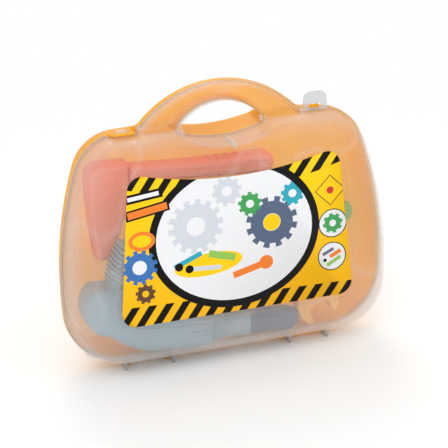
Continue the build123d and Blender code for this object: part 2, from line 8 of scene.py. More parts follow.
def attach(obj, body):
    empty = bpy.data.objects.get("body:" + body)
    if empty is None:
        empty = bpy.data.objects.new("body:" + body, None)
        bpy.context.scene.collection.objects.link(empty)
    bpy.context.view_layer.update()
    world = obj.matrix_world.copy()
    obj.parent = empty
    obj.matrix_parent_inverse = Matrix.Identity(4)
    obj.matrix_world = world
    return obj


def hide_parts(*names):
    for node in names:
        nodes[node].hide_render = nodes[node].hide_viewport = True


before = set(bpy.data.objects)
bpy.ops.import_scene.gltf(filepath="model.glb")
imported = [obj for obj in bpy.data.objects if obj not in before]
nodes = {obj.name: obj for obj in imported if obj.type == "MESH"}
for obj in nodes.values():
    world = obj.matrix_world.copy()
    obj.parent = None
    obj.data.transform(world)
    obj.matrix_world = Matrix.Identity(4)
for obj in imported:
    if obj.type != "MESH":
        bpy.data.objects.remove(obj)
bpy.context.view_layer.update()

scene = bpy.context.scene
scene.view_settings.view_transform = "Standard"


# Camera: the photograph's view, from a little to the left and above, about 1.5 m off,
# with the small roll that the product shot has.
view_azimuth = math.radians(18.13)
view_elevation = math.radians(20.10)
view_roll = math.radians(2.0)
view_distance = 1.5097
view_target = Vector((0, 0, 0.1182))
target_pixel = 222.7
image_pixels = 448
focal_pixels = 1761.7
pixels_per_metre = 1166.94
sensor_width = 36

forward = Vector((
    math.sin(view_azimuth) * math.cos(view_elevation),
    math.cos(view_azimuth) * math.cos(view_elevation),
    -math.sin(view_elevation),
))
level_right = Vector((math.cos(view_azimuth), -math.sin(view_azimuth), 0))
level_up = level_right.cross(forward)
right = math.cos(view_roll) * level_right - math.sin(view_roll) * level_up
up = math.sin(view_roll) * level_right + math.cos(view_roll) * level_up
off_centre = (image_pixels / 2 - target_pixel) / pixels_per_metre
camera_place = view_target - forward * view_distance + (right - up) * off_centre
camera_data = bpy.data.cameras.new("camera")
camera_data.sensor_width = sensor_width
camera_data.lens = focal_pixels / image_pixels * sensor_width
camera = bpy.data.objects.new("camera", camera_data)
camera_axes = Matrix((right, up, -forward)).transposed().to_4x4()
camera.matrix_world = Matrix.Translation(camera_place) @ camera_axes
scene.collection.objects.link(camera)
scene.camera = camera


# Studio: a pale floor that takes the case's soft shadow and fades into the white
# surround, and three soft lamps, the largest above and to the left of the camera.
floor_size = 12.0
fade_starts = 0.20
fade_ends = 0.75
floor_grey = (0.93, 0.93, 0.93, 1.0)
white = (1.0, 1.0, 1.0, 1.0)
surround_light = 0.85
lamps = {
    "key_lamp": ((-0.9, -1.3, 1.5), 1.3, 10.0),
    "fill_lamp": ((1.3, -1.1, 0.8), 1.2, 5.0),
    "back_lamp": ((0.2, 1.2, 1.3), 1.0, 7.0),
}


def feed(tree, node, feeds):
    """Sets numbers and colours on a node's sockets, and links other nodes' outputs to them."""
    for socket, value in feeds.items():
        if isinstance(value, bpy.types.NodeSocket):
            tree.links.new(value, node.inputs[socket])
        else:
            node.inputs[socket].default_value = value


def add_node(tree, kind, feeds=None, **settings):
    """A new shader node with its settings, and with its sockets fed."""
    node = tree.nodes.new("ShaderNode" + kind)
    for setting, value in settings.items():
        setattr(node, setting, value)
    feed(tree, node, feeds or {})
    return node


def reckon(tree, operation, *values, clamp=False):
    """The result of a Math node for numbers or other nodes' outputs."""
    node = add_node(tree, "Math", dict(enumerate(values)), operation=operation, use_clamp=clamp)
    return node.outputs[0]


def background_rays(tree):
    """1 on the rays that see the white background: the camera's, reflected and let through."""
    rays = add_node(tree, "LightPath").outputs
    seen = reckon(tree, "MAXIMUM", rays["Is Camera Ray"], rays["Is Glossy Ray"])
    return reckon(tree, "MAXIMUM", seen, rays["Is Transmission Ray"])


def new_piece(name, mesh):
    """An object at the origin for a mesh whose place is already in its points."""
    piece = bpy.data.objects.new(name, mesh)
    scene.collection.objects.link(piece)
    return piece


world = bpy.data.worlds.new("studio")
scene.world = world
world.use_nodes = True
sky = world.node_tree
sky.nodes.clear()
surround = add_node(sky, "Background", {"Color": white, "Strength": surround_light})
backdrop = add_node(sky, "Background", {"Color": white, "Strength": 1.0})
chosen = add_node(sky, "MixShader", {
    0: background_rays(sky), 1: surround.outputs[0], 2: backdrop.outputs[0],
})
add_node(sky, "OutputWorld", {"Surface": chosen.outputs[0]})

for lamp_name, (lamp_place, lamp_size, lamp_power) in lamps.items():
    lamp_data = bpy.data.lights.new(lamp_name, "AREA")
    lamp_data.shape = "DISK"
    lamp_data.size = lamp_size
    lamp_data.energy = lamp_power
    lamp = bpy.data.objects.new(lamp_name, lamp_data)
    aim = (view_target - Vector(lamp_place)).to_track_quat("-Z", "Y")
    lamp.matrix_world = Matrix.Translation(lamp_place) @ aim.to_matrix().to_4x4()
    scene.collection.objects.link(lamp)

floor_mesh = bpy.data.meshes.new("floor")
floor_build = bmesh.new()
bmesh.ops.create_grid(floor_build, x_segments=1, y_segments=1, size=floor_size / 2)
floor_build.to_mesh(floor_mesh)
floor_build.free()
floor = new_piece("floor", floor_mesh)
floor_paint = bpy.data.materials.new("pale_floor")
floor_paint.use_nodes = True
floor_tree = floor_paint.node_tree
floor_shader = floor_tree.nodes["Principled BSDF"]
feed(floor_tree, floor_shader, {
    "Base Color": floor_grey, "Roughness": 0.9, "Specular IOR Level": 0.1,
})
floor_white = add_node(floor_tree, "Emission")
floor_spot = add_node(floor_tree, "TexCoord").outputs["Object"]
floor_reach = add_node(floor_tree, "VectorMath", {0: floor_spot}, operation="LENGTH")
floor_fade = add_node(floor_tree, "MapRange", {
    "Value": floor_reach.outputs["Value"], "From Min": fade_starts, "From Max": fade_ends,
}, interpolation_type="SMOOTHSTEP")
floor_seen = add_node(floor_tree, "LightPath").outputs["Is Camera Ray"]
floor_share = reckon(floor_tree, "MULTIPLY", floor_fade.outputs["Result"], floor_seen)
floor_mix = add_node(floor_tree, "MixShader", {
    "Fac": floor_share, 1: floor_shader.outputs["BSDF"], 2: floor_white.outputs["Emission"],
})
feed(floor_tree, floor_tree.nodes["Material Output"], {"Surface": floor_mix.outputs["Shader"]})
floor_mesh.materials.append(floor_paint)


# Back shell: orange-yellow moulded plastic, 1.8 mm thick and tinted right through, so
# that it glows where light comes through its wall.  Two webs at the finger hole, a tab
# for opening the case at a lower corner and a latch nub are moulded with it.
shell_grain = {"wave": 0.06, "grain": 260.0}
rim_reach = 0.0031
feet_top = 0.0082
low_reach = 0.2
streak_half_width = 0.035
sharp_turn = 0.5
smooth_limit = math.radians(38)
half_round = Matrix.Rotation(math.pi, 4, "Z")

web_blocks = (
    ((0.0046, -0.0172, 0.1953), (0.0012, 0.0260, 0.0050)),
    ((0.0352, -0.0057, 0.2095), (0.0012, 0.0075, 0.0040)),
)
web_edge = 0.0005
nub_place = (-0.0860, -0.00175, 0.2112)
nub_size = (0.0086, 0.0015, 0.0036)
nub_edge = 0.0004
tab_place = (-0.1227, -0.0003, 0.0180)
tab_lean = math.radians(139)
tab_half_width = 0.0132
tab_height = 0.0072
tab_depth = 0.0016
tab_corner = 0.0022
tab_rim = 0.0003


def moulded(name, colour, roughness, wave=0.03, grain=900.0, tone=0.05):
    """Moulded plastic whose colour and gloss drift a little over the piece."""
    paint = bpy.data.materials.new(name)
    paint.use_nodes = True
    tree = paint.node_tree
    spot = add_node(tree, "TexCoord").outputs["Object"]
    drift = add_node(tree, "TexNoise", {"Vector": spot, "Scale": 14.0, "Detail": 3.0})
    ramp = add_node(tree, "ValToRGB", {"Fac": drift.outputs["Fac"]})
    for stop, position, change in ((0, 0.3, 1 - tone), (1, 0.7, 1 + tone)):
        element = ramp.color_ramp.elements[stop]
        element.position = position
        element.color = (*[min(1.0, part * change) for part in colour], 1.0)
    gloss = add_node(tree, "MapRange", {
        "Value": drift.outputs["Fac"], "To Min": roughness * 0.85, "To Max": roughness * 1.2,
    })
    speckle = add_node(tree, "TexNoise", {"Vector": spot, "Scale": grain})
    bump = add_node(tree, "Bump", {
        "Height": speckle.outputs["Fac"], "Strength": wave, "Distance": 0.0004,
    })
    feed(tree, tree.nodes["Principled BSDF"], {
        "Base Color": ramp.outputs["Color"],
        "Roughness": gloss.outputs["Result"],
        "Normal": bump.outputs["Normal"],
    })
    return paint


def see_through(
    paint, least, most, glow, side_cloud, edge_cloud, painted_rim_shade=1.0, flow_and_highlight_streaks=0.0, low_cloud=0.0
):
    """Lets part of the light straight through a plastic, less at sides, rim and feet; paints shade
    on rim and feet.
    """
    tree = paint.node_tree
    coordinates = tree.nodes["Texture Coordinate"].outputs
    point = add_node(tree, "SeparateXYZ", {"Vector": coordinates["Object"]}).outputs
    facing = add_node(tree, "SeparateXYZ", {"Vector": coordinates["Normal"]}).outputs

    cloud = add_node(tree, "TexNoise", {"Vector": coordinates["Object"], "Scale": 22.0})
    cover = add_node(tree, "MapRange", {
        "Value": cloud.outputs["Fac"], "To Min": least, "To Max": most,
    })
    sideways = add_node(tree, "MapRange", {
        "Value": reckon(tree, "ABSOLUTE", facing["Y"]),
        "From Min": 1.0, "From Max": 0.2, "To Min": 0.0, "To Max": side_cloud,
    })
    on_rim = reckon(tree, "LESS_THAN", reckon(tree, "ABSOLUTE", point["Y"]), rim_reach)
    on_feet = reckon(tree, "LESS_THAN", point["Z"], feet_top)
    solid = reckon(tree, "MAXIMUM", on_rim, on_feet)
    edges = reckon(tree, "MULTIPLY_ADD", solid, edge_cloud, sideways.outputs["Result"])

    # Faint white streaks in the cover, partly flow marks and partly painted highlights for
    # reflections.
    streak_noise = add_node(tree, "TexNoise", {
        "Vector": coordinates["Object"], "Scale": 11.0, "Detail": 1.0,
    })
    from_streak = reckon(tree, "ABSOLUTE", reckon(tree, "SUBTRACT", streak_noise.outputs["Fac"], 0.5))
    flow_and_highlight_lines = add_node(tree, "MapRange", {
        "Value": from_streak, "From Min": streak_half_width, "From Max": 0.0, "To Max": flow_and_highlight_streaks,
    }, interpolation_type="SMOOTHSTEP")
    low = add_node(tree, "MapRange", {
        "Value": point["Z"],
        "From Min": 0.0, "From Max": low_reach, "To Min": low_cloud, "To Max": 0.0,
    })
    whole = reckon(tree, "ADD", cover.outputs["Result"], flow_and_highlight_lines.outputs["Result"])
    whole = reckon(tree, "ADD", whole, low.outputs["Result"])
    whole = reckon(tree, "ADD", whole, edges, clamp=True)

    # Painted shade: the rim and feet are darkened, for the grey that refraction gives clear
    # plastic edges.
    rim_shaded_tint = add_node(tree, "Mix", {
        "Factor": solid,
        "A": tree.nodes["Color Ramp"].outputs["Color"],
        "B": (painted_rim_shade, painted_rim_shade, painted_rim_shade, 1.0),
    }, data_type="RGBA", blend_type="MULTIPLY").outputs["Result"]
    shader = tree.nodes["Principled BSDF"]
    feed(tree, shader, {"Base Color": rim_shaded_tint, "IOR": 1.49})
    through = add_node(tree, "BsdfTranslucent", {"Color": rim_shaded_tint})
    scatter = add_node(tree, "MixShader", {
        "Fac": glow, 1: shader.outputs["BSDF"], 2: through.outputs["BSDF"],
    })
    clear = add_node(tree, "BsdfTransparent")
    cover_mix = add_node(tree, "MixShader", {
        "Fac": whole, 1: clear.outputs["BSDF"], 2: scatter.outputs["Shader"],
    })
    feed(tree, tree.nodes["Material Output"], {"Surface": cover_mix.outputs["Shader"]})


def finish_node(node, paint):
    """Gives a carried-over CAD node its finish."""
    mesh = nodes[node].data
    mesh.materials.clear()
    mesh.materials.append(paint)


def finish_piece(name, build, paint, body):
    """Makes a new piece from its bmesh, smooth but for its sharp edges, on its body."""
    bmesh.ops.recalc_face_normals(build, faces=build.faces)
    mesh = bpy.data.meshes.new(name)
    build.to_mesh(mesh)
    build.free()
    mesh.shade_smooth()
    mesh.set_sharp_from_angle(angle=smooth_limit)
    mesh.materials.append(paint)
    piece = new_piece(name, mesh)
    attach(piece, body)
    return piece


def soften(build, edges, radius, segments):
    """Rounds edges over."""
    bmesh.ops.bevel(
        build, geom=edges, offset=radius, segments=segments, profile=0.5, affect="EDGES",
        material=-1,
    )


def sharp_edges(edges):
    """Those edges whose two faces meet at a sharp turn."""
    return [e for e in edges if e.calc_face_angle(0) > sharp_turn]


def raise_faces(build, faces, height):
    """Pulls faces up, with walls round them, and keeps a floor where they lay."""
    raised = bmesh.ops.extrude_face_region(build, geom=faces)
    top = [part for part in raised["geom"] if isinstance(part, bmesh.types.BMVert)]
    bmesh.ops.translate(build, vec=(0, 0, height), verts=top)


def add_block(build, size, matrix, edge, segments=3):
    """A block with rounded edges, placed by a matrix."""
    made = bmesh.ops.create_cube(build, size=1.0, matrix=matrix @ Matrix.Diagonal((*size, 1)))
    edges = dict.fromkeys(e for v in made["verts"] for e in v.link_edges)
    soften(build, list(edges), edge, segments)


def add_webs(build):
    """The thin webs that stiffen the moulding round the finger hole."""
    for place, size in web_blocks:
        add_block(build, size, Matrix.Translation(place), web_edge, 2)


def add_tab(build):
    """The three-cornered opening tab at the shell's lower corner."""
    made = bmesh.ops.create_circle(build, cap_ends=True, segments=3, radius=1.0)
    triangle_half_width = 0.866
    triangle_height = 1.5
    size = (tab_half_width / triangle_half_width, tab_height / triangle_height, 1)
    bmesh.ops.scale(build, vec=size, verts=made["verts"])
    raise_faces(build, build.faces[:], tab_depth)
    rise = tab_depth / 2
    upright = [e for e in build.edges if abs(e.verts[0].co.z - e.verts[1].co.z) > rise]
    soften(build, upright, tab_corner, 6)
    flat = [e for e in build.edges if abs(e.verts[0].co.z - e.verts[1].co.z) < rise]
    soften(build, sharp_edges(flat), tab_rim, 2)
    lean = Matrix.Rotation(math.pi / 2, 4, "X") @ Matrix.Rotation(tab_lean, 4, "Z")
    bmesh.ops.transform(build, matrix=Matrix.Translation(tab_place) @ lean, verts=build.verts)


def add_nub(build):
    """The tall part of the latch nub, which the other shell's flap snaps over."""
    add_block(build, nub_size, Matrix.Translation(nub_place), nub_edge)


def finish_trim(shell, turn, paint, body):
    """A shell's webs, tab and nub, which one mould makes for both shells."""
    for part, add in (("webs", add_webs), ("tab", add_tab), ("nub", add_nub)):
        build = bmesh.new()
        add(build)
        bmesh.ops.transform(build, matrix=turn, verts=build.verts)
        finish_piece(f"{shell}_{part}", build, paint, body)


amber = moulded("amber_plastic", (1.0, 0.60, 0.014), 0.30, **shell_grain)
see_through(amber, least=0.80, most=0.89, glow=0.50, side_cloud=0.10, edge_cloud=0.10)
finish_node("back_shell", amber)
finish_trim("back", half_round, amber, "case_back")


# Toy hammer: coral red plastic, its handle pushed into the head.  The handle's end has
# raised bands for the hand, and the head an oval pad on its front cheek.
hammer_tilt = Matrix.Rotation(math.radians(2), 4, "Y")
hammer_place = Matrix.Translation((-0.095, 0.0239, 0.166)) @ hammer_tilt
band_count = 6
first_band = 0.092
band_pitch = 0.0085
band_thickness = 0.0030
band_proud = 0.0014
band_corner = 0.0062
band_rim = 0.0006
handle_waist = 0.0164
handle_waist_along = 0.075
handle_swell = 0.0016 / 0.06
pad_place = (0, -0.0120, -0.012)
pad_stretch = Matrix.Diagonal((1.0, 1.5, 1.0, 1.0))
pad_foot = 0.0105
pad_top = 0.0095
pad_height = 0.0012
pad_rim = 0.0004


def add_slab(build, size, matrix, corner, rim, rounds=lambda middle: True):
    """A slab with round corners and softened rims; its thickness is the least of its sizes."""
    others = set(build.verts)
    bmesh.ops.create_cube(build, size=1.0, matrix=Matrix.Diagonal((*size, 1)))
    own = [e for e in build.edges if e.verts[0] not in others]
    upright = [e for e in own if e.calc_length() < 1.01 * min(size)]
    corners = [e for e in upright if rounds((e.verts[0].co + e.verts[1].co) / 2)]
    soften(build, corners, corner, 7)
    own = [e for e in build.edges if e.verts[0] not in others]
    soften(build, sharp_edges(own), rim, 2)
    bmesh.ops.transform(build, matrix=matrix, verts=[v for v in build.verts if v not in others])


coral = moulded("hammer_red", (1.0, 0.28, 0.16), 0.34)
finish_node("hammer_head", coral)
finish_node("hammer_handle", coral)
hammer_bands = bmesh.new()
for count in range(band_count):
    along = first_band + band_pitch * count
    across = handle_waist + handle_swell * abs(along - handle_waist_along) + band_proud
    band_place = hammer_place @ Matrix.Translation((along, 0, 0))
    add_slab(hammer_bands, (band_thickness, across, across), band_place, band_corner, band_rim)
finish_piece("hammer_bands", hammer_bands, coral, "case_back")
hammer_pad = bmesh.new()
bmesh.ops.create_cone(
    hammer_pad, cap_ends=True, segments=48, radius1=pad_foot, radius2=pad_top, depth=pad_height
)
soften(hammer_pad, sharp_edges(hammer_pad.edges), pad_rim, 2)
bmesh.ops.transform(
    hammer_pad,
    matrix=hammer_place @ Matrix.Translation(pad_place) @ Matrix.Rotation(math.pi / 2, 4, "X")
    @ pad_stretch,
    verts=hammer_pad.verts,
)
finish_piece("hammer_pad", hammer_pad, coral, "case_back")


# Toy saw: a green pierced handle moulded round a grey toothed blade.  Two domed rivets
# show on its cheek, and its far end runs out into a rounded horn.
rivet_radius = 0.0030
rivet_flat = Matrix.Diagonal((1.0, 0.45, 1.0, 1.0))
rivet_places = ((0.0605, 0.0239, 0.0885), (0.0605, 0.0239, 0.1115))
horn_place = (0.1175, 0.0277, 0.1018)
horn_size = (0.0260, 0.0066, 0.0200)
horn_corner = 0.0088
horn_rim = 0.0018

green = moulded("saw_green", (0.20, 0.62, 0.08), 0.34)
tool_grey = moulded("tool_grey", (0.40, 0.42, 0.44), 0.32)
finish_node("saw_handle", green)
finish_node("saw_blade", tool_grey)
saw_rivets = bmesh.new()
for place in rivet_places:
    bmesh.ops.create_uvsphere(
        saw_rivets, u_segments=24, v_segments=12, radius=rivet_radius,
        matrix=Matrix.Translation(place) @ rivet_flat,
    )
finish_piece("saw_rivets", saw_rivets, tool_grey, "case_back")
saw_horn = bmesh.new()
add_slab(saw_horn, horn_size, Matrix.Translation(horn_place), horn_corner, horn_rim)
finish_piece("saw_horn", saw_horn, green, "case_back")


# Toy spanner: orange-yellow plastic with open jaws at both ends.  A raised border runs
# round a sunk panel on each side of its shank.
spanner_tilt = Matrix.Rotation(math.radians(-98), 4, "Y")
spanner_place = Matrix.Translation((0.084, 0, 0.0305)) @ spanner_tilt
border_middle = 0.0575
border_out = 0.0059
border_half_length = 0.0340
border_half_width = 0.0048
border_band = 0.0012
border_height = 0.0008


def add_border(border):
    """A raised border with two straight sides and round ends, rounded on top."""
    bmesh.ops.create_circle(border, cap_ends=True, segments=40, radius=border_half_width)
    reach = border_half_length - border_half_width
    for way in (1, -1):
        end = [v for v in border.verts if v.co.x * way > 1e-6]
        bmesh.ops.translate(border, vec=(way * reach, 0, 0), verts=end)
    middle = border.faces[:]
    bmesh.ops.inset_region(
        border, faces=middle, thickness=border_band, use_boundary=True, use_even_offset=True
    )
    bmesh.ops.delete(border, geom=middle, context="FACES_ONLY")
    raise_faces(border, border.faces[:], border_height)
    upper = [e for e in border.edges if min(v.co.z for v in e.verts) > border_height / 2]
    soften(border, sharp_edges(upper), border_height * 0.35, 3)


spanner_orange = moulded("spanner_yellow", (1.0, 0.47, 0.05), 0.33)
finish_node("spanner", spanner_orange)
spanner_borders = bmesh.new()
for side in (-1, 1):
    border = bmesh.new()
    add_border(border)
    lay = Matrix.Translation((border_middle, side * border_out, 0))
    lay = lay @ Matrix.Rotation(-side * math.pi / 2, 4, "X")
    bmesh.ops.transform(border, matrix=spanner_place @ lay, verts=border.verts)
    border_mesh = bpy.data.meshes.new("border")
    border.to_mesh(border_mesh)
    border.free()
    spanner_borders.from_mesh(border_mesh)
    bpy.data.meshes.remove(border_mesh)
finish_piece("spanner_borders", spanner_borders, spanner_orange, "case_back")


# Toy screwdriver: a blue fluted handle with a domed end, and a grey shaft that comes out
# of a short ferrule.
cap_place = (-0.075, 0.0243, 0.0292)
cap_radius = 0.0084
cap_flat = Matrix.Diagonal((0.42, 1.0, 1.0, 1.0))
ferrule_place = (-0.0175, 0.0243, 0.0292)
ferrule_foot = 0.0064
ferrule_tip = 0.0048
ferrule_length = 0.006
ferrule_rim = 0.0007
lie = Matrix.Rotation(math.pi / 2, 4, "Y")

driver_blue = moulded("driver_blue", (0.02, 0.30, 0.66), 0.30)
finish_node("screwdriver_handle", driver_blue)
finish_node("screwdriver_shaft", tool_grey)
driver_cap = bmesh.new()
bmesh.ops.create_uvsphere(
    driver_cap, u_segments=36, v_segments=18, radius=cap_radius,
    matrix=Matrix.Translation(cap_place) @ cap_flat,
)
finish_piece("driver_cap", driver_cap, driver_blue, "case_back")
driver_ferrule = bmesh.new()
bmesh.ops.create_cone(
    driver_ferrule, cap_ends=True, segments=36, radius1=ferrule_foot, radius2=ferrule_tip,
    depth=ferrule_length, matrix=Matrix.Translation(ferrule_place) @ lie,
)
soften(driver_ferrule, sharp_edges(driver_ferrule.edges), ferrule_rim, 3)
finish_piece("driver_ferrule", driver_ferrule, tool_grey, "case_back")


# Toy bolts and nuts: black moulded plastic, two of each, with a nut screwed on each bolt.
# A coarse round thread runs along each shank, in front of its nut and behind it.
bolt_place = Vector((-0.034, 0.02551, 0.1263))
bolt_spacing = 0.040
thread_radius = 0.0049
thread_wire = 0.00055
thread_pitch = 0.0018
thread_runs = ((0.0022, 5), (0.0210, 2.4))
steps_in_turn = 20

bolt_black = moulded("bolt_black", (0.02, 0.02, 0.022), 0.38)
for fastener in ("bolt_1", "bolt_2", "nut_1", "nut_2"):
    finish_node(fastener, bolt_black)
for index in range(2):
    thread = bmesh.new()
    for start, turns in thread_runs:
        made = bmesh.ops.create_circle(thread, cap_ends=True, segments=8, radius=thread_wire)
        end = made["verts"][0].link_faces[0]
        bmesh.ops.rotate(
            thread, cent=(0, 0, 0), matrix=Matrix.Rotation(math.pi / 2, 3, "X"),
            verts=made["verts"],
        )
        bmesh.ops.translate(thread, vec=(thread_radius, 0, start), verts=made["verts"])
        bmesh.ops.spin(
            thread, geom=[end, *end.edges, *end.verts], cent=(0, 0, 0), axis=(0, 0, 1),
            dvec=(0, 0, thread_pitch / steps_in_turn), angle=turns * 2 * math.pi,
            steps=round(turns * steps_in_turn), use_duplicate=False,
        )
    place = bolt_place + Vector((bolt_spacing * index, 0, 0))
    bmesh.ops.transform(thread, matrix=Matrix.Translation(place) @ lie, verts=thread.verts)
    finish_piece(f"bolt_{index + 1}_thread", thread, bolt_black, "case_back")


# Toy drill: two blue-grey housing halves screwed together, a darker chuck that turns and
# a red trigger.  Each half has moulded ribs on its grip, three vents and a long ridge.
drill_tilt = Matrix.Rotation(math.radians(4), 4, "Y")
drill_place = Matrix.Translation((-0.129, -0.006, 0.0366)) @ drill_tilt
rib_count = 12
rib_size = (0.0245, 0.0144, 0.0019)
rib_tilt = Matrix.Rotation(math.radians(27), 4, "Y")
rib_corner = 0.0078
rib_rim = 0.0005
rib_out = 0.0074
ribs_start = Vector((0.0186, 0, 0.0418))
ribs_rise = 0.0400
ribs_lean = 0.0105
vent_count = 3
vent_size = (0.0200, 0.0018, 0.0017)
vent_place = Vector((0.0995, 0.0198, 0.0066))
vent_pitch = 0.0046
vent_edge = 0.0006
body_ridge_size = (0.0655, 0.0016, 0.0014)
body_ridge_place = Vector((0.0732, 0.0200, 0.0087))
body_ridge_tilt = Matrix.Rotation(math.radians(2), 4, "Y")
body_ridge_edge = 0.0005
collar_along = 0.1165
collar_foot = 0.0143
collar_tip = 0.0137
collar_length = 0.010
collar_rim = 0.0010
finger_ridge_count = 3
finger_ridge_size = (0.0014, 0.0090, 0.0012)
finger_ridge_place = Vector((0.0690, 0, 0.0500))
finger_ridge_pitch = 0.0050
finger_ridge_edge = 0.0004

housing_grey = moulded("drill_grey", (0.25, 0.37, 0.44), 0.36)
chuck_grey = moulded("chuck_grey", (0.05, 0.11, 0.19), 0.38)
trigger_red = moulded("trigger_red", (0.80, 0.10, 0.05), 0.34)
screw_metal = moulded("screw_metal", (0.60, 0.60, 0.60), 0.28)
screw_metal.node_tree.nodes["Principled BSDF"].inputs["Metallic"].default_value = 1.0
finish_node("drill_half_front", housing_grey)
finish_node("drill_half_back", housing_grey)
finish_node("drill_chuck", chuck_grey)
finish_node("drill_trigger", trigger_red)
finish_node("drill_screws", screw_metal)
for side, half in ((-1, "front"), (1, "back")):
    ribs = bmesh.new()
    for count in range(rib_count):
        share = count / (rib_count - 1)
        shift = Vector((ribs_lean * share ** 2, side * rib_out, ribs_rise * share))
        rear_end = drill_place @ Matrix.Translation(ribs_start + shift) @ rib_tilt
        add_slab(
            ribs, rib_size, rear_end @ Matrix.Translation((rib_size[0] / 2, 0, 0)),
            rib_corner, rib_rim, lambda middle: middle.y * side > 0,
        )
    finish_piece(f"grip_ribs_{half}", ribs, housing_grey, "case_back")
    on_side = Vector((1, side, 1))
    vents = bmesh.new()
    for count in range(vent_count):
        place = vent_place * on_side - Vector((0, 0, vent_pitch * count))
        add_block(vents, vent_size, drill_place @ Matrix.Translation(place), vent_edge)
    finish_piece(f"nose_vents_{half}", vents, housing_grey, "case_back")
    ridge = bmesh.new()
    place = Matrix.Translation(body_ridge_place * on_side)
    add_block(ridge, body_ridge_size, drill_place @ place @ body_ridge_tilt, body_ridge_edge)
    finish_piece(f"body_ridge_{half}", ridge, housing_grey, "case_back")
nose_collar = bmesh.new()
bmesh.ops.create_cone(
    nose_collar, cap_ends=True, segments=56, radius1=collar_foot, radius2=collar_tip,
    depth=collar_length, matrix=drill_place @ Matrix.Translation((collar_along, 0, 0)) @ lie,
)
soften(nose_collar, sharp_edges(nose_collar.edges), collar_rim, 3)
finish_piece("nose_collar", nose_collar, housing_grey, "case_back")
trigger_ridges = bmesh.new()
for count in range(finger_ridge_count):
    place = Matrix.Translation(finger_ridge_place + Vector((0, 0, finger_ridge_pitch * count)))
    add_block(trigger_ridges, finger_ridge_size, drill_place @ place, finger_ridge_edge)
finish_piece("trigger_ridges", trigger_ridges, trigger_red, "trigger")


# Front shell: the same moulding in milky natural plastic.  It scatters a part of the
# light and lets the rest through, so the toys behind it show as soft colours.
milky = moulded("milky_plastic", (0.84, 0.82, 0.82), 0.24, tone=0.03, **shell_grain)
# Its rim and feet get painted shade, and its faint white streaks are partly painted highlights.
see_through(
    milky, least=0.03, most=0.12, glow=0.35, side_cloud=0.20, edge_cloud=0.30,
    painted_rim_shade=0.74, flow_and_highlight_streaks=0.06, low_cloud=0.13,
)
milky_solid = moulded("milky_solid", (0.84, 0.83, 0.82), 0.24, tone=0.03, **shell_grain)
see_through(milky_solid, least=0.40, most=0.50, glow=0.35, side_cloud=0.05, edge_cloud=0.0)
finish_node("front_shell", milky)
finish_trim("front", Matrix.Identity(4), milky_solid, "case_front")


# Latch flaps: one on each shell, moulded in one piece with it and so of its plastic, on a
# thin living hinge.  Each folds over the other shell's rim and snaps over a nub there.
# The right flap is painted a darker blue-grey than its shell: painted shade for clear plastic's
# grey.
shaded_milky_flap = moulded("shaded_milky_flap", (0.60, 0.62, 0.66), 0.24, tone=0.03, **shell_grain)
see_through(shaded_milky_flap, least=0.46, most=0.54, glow=0.30, side_cloud=0.15, edge_cloud=0.0)
finish_node("latch_flap_right", shaded_milky_flap)
finish_node("latch_flap_left", amber)


# Label: a printed film in the front panel.  Its ground runs from yellow to amber, with
# black hazard stripes along the foot and the upper edge.  A white oval field in a black
# ring holds a few cogs and blocks, and small badges stand to its right.
yellow_ink = (1.0, 0.62, 0.006, 1.0)
amber_ink = (0.95, 0.47, 0.006, 1.0)
black_ink = (0.004, 0.004, 0.005, 1.0)
white_ink = (0.82, 0.83, 0.85, 1.0)
pale_ink = (0.62, 0.66, 0.72, 1.0)
blue_ink = (0.05, 0.17, 0.45, 1.0)
sky_ink = (0.03, 0.38, 0.50, 1.0)
slate_ink = (0.10, 0.14, 0.22, 1.0)
green_ink = (0.06, 0.36, 0.10, 1.0)
lime_ink = (0.28, 0.55, 0.10, 1.0)
orange_ink = (0.90, 0.22, 0.03, 1.0)
red_ink = (0.62, 0.04, 0.04, 1.0)
brown_ink = (0.12, 0.06, 0.03, 1.0)
backing_white = (0.78, 0.78, 0.77, 1.0)
glue_gap = 0.00006

ground_foot = 0.05
ground_rise = 0.12
stripe_pitch = 0.0152
stripe_lean = 0.72
foot_band = 0.0665
foot_slope = 0.03
head_band = 0.1585
head_curve = 1.6
oval_centre = (-0.002, 0.1215)
oval_half = (0.069, 0.059)
ring_half = (0.0755, 0.0655)
tooth_share = 0.18
hole_share = 0.34

label_paint = bpy.data.materials.new("label_print")
label_paint.use_nodes = True
ink = label_paint.node_tree
ink_place = add_node(ink, "TexCoord").outputs
ink_axes = add_node(ink, "SeparateXYZ", {"Vector": ink_place["Object"]}).outputs


def local(centre, turn=0.0):
    """The print's own axes about a centre, turned by an angle in degrees."""
    side = reckon(ink, "SUBTRACT", ink_axes["X"], centre[0])
    height = reckon(ink, "SUBTRACT", ink_axes["Z"], centre[1])
    cosine = math.cos(math.radians(turn))
    sine = math.sin(math.radians(turn))
    turned_side = reckon(
        ink, "ADD",
        reckon(ink, "MULTIPLY", side, cosine), reckon(ink, "MULTIPLY", height, sine),
    )
    turned_height = reckon(
        ink, "SUBTRACT",
        reckon(ink, "MULTIPLY", height, cosine), reckon(ink, "MULTIPLY", side, sine),
    )
    return turned_side, turned_height


def sum_of_squares(side, height):
    """The square of a distance from its two parts."""
    side = reckon(ink, "MULTIPLY", side, side)
    return reckon(ink, "ADD", side, reckon(ink, "MULTIPLY", height, height))


def oval(centre, half_width, half_height, turn=0.0):
    """A mask that is 1 inside an oval."""
    side, height = local(centre, turn)
    side = reckon(ink, "DIVIDE", side, half_width)
    height = reckon(ink, "DIVIDE", height, half_height)
    return reckon(ink, "LESS_THAN", sum_of_squares(side, height), 1.0)


def block(centre, half_width, half_height, turn=0.0):
    """A mask that is 1 inside a straight block."""
    side, height = local(centre, turn)
    side = reckon(ink, "LESS_THAN", reckon(ink, "ABSOLUTE", side), half_width)
    height = reckon(ink, "LESS_THAN", reckon(ink, "ABSOLUTE", height), half_height)
    return reckon(ink, "MULTIPLY", side, height)


